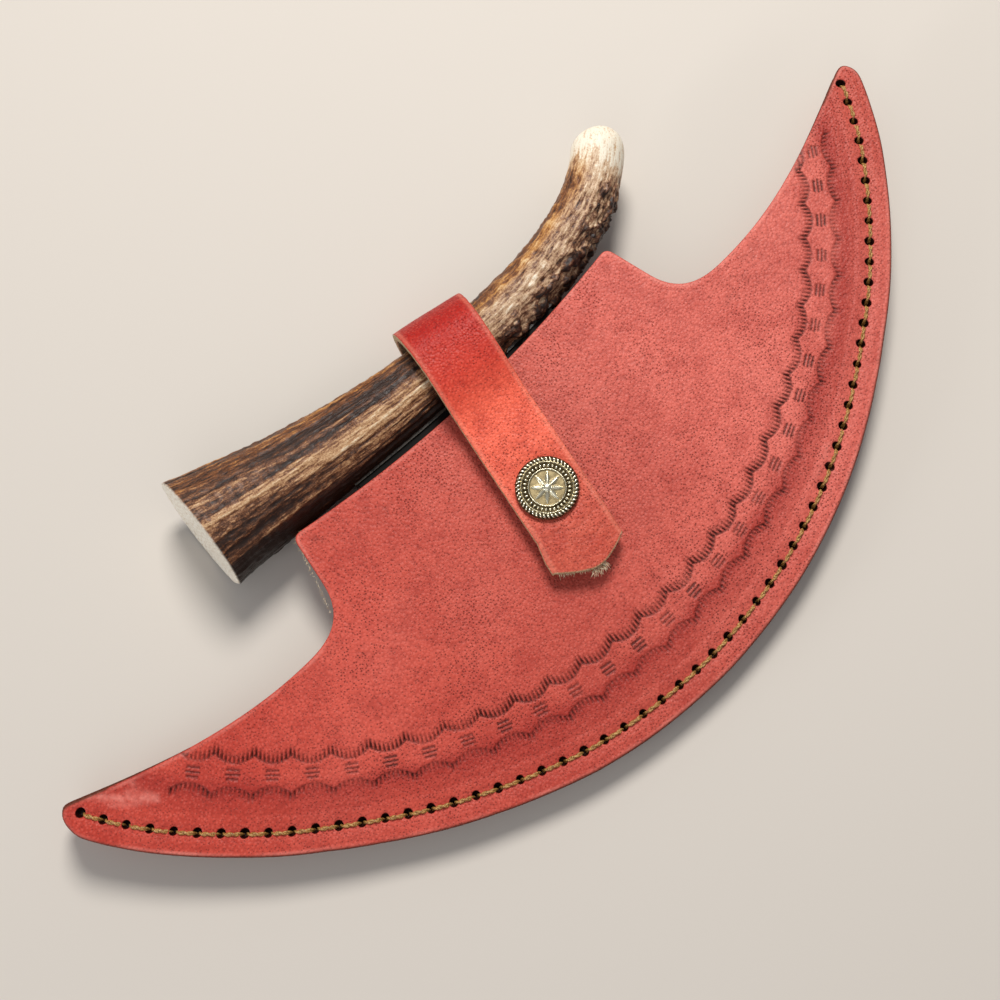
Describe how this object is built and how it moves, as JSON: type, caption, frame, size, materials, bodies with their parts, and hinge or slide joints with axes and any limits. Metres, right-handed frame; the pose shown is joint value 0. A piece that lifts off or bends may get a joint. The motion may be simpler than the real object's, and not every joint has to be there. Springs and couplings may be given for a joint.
{
  "type": "sheathed crescent knife",
  "caption": "Crescent-bladed hand knife with an antler handle, in a stitched red leather sheath closed by a leather strap with a press stud.",
  "frame": {"origin": "on the back face of the sheath, on its centre line, half way up the crescent", "axes": "+X from the left horn to the right horn, +Y the way the knife is drawn, +Z out of the front of the sheath"},
  "size_m": [0.2712, 0.1281, 0.0254],
  "materials": {
    "red_leather": "dyed pebbled grain leather, burnished edges",
    "strap_leather": "dyed leather with raw tan edges",
    "welt_leather": "burnished cut edge",
    "waxed_thread": "waxed twisted thread",
    "antique_brass": "antiqued brass, worn on the high spots",
    "rivet_brass": "antiqued brass",
    "blade_steel": "satin ground steel",
    "antler": "polished stag antler with dark ridges",
    "resin": "dark resin",
    "pin_steel": "satin"
  },
  "bodies": {
    "sheath": {"front_panel": "red_leather", "back_panel": "red_leather", "welt": "welt_leather", "thread_a": "waxed_thread", "thread_b": "waxed_thread", "strap_tail": "strap_leather", "rivet_caps": "rivet_brass", "rivet_posts": "rivet_brass", "snap_stud": "antique_brass", "snap_eyelet": "antique_brass"},
    "strap": {"strap_flap": "strap_leather", "snap_cap": "antique_brass", "snap_socket": "antique_brass"},
    "knife": {"blade": "blade_steel", "antler_handle": "antler", "tang_bedding": "resin", "handle_pin": "pin_steel"}
  },
  "joints": [
    {"name": "strap_open", "type": "hinge", "parent": "sheath", "child": "strap", "pos_m": [0.00919, 0.07802, 0.004], "axis": [-0.9803, 0.1977, 0], "range_deg": [0, 180], "deforming": ["strap_flap", "strap_tail"]},
    {"name": "knife_draw", "type": "slide", "parent": "sheath", "child": "knife", "axis": [0, 1, 0], "range_m": [0, 0.14]}
  ]
}
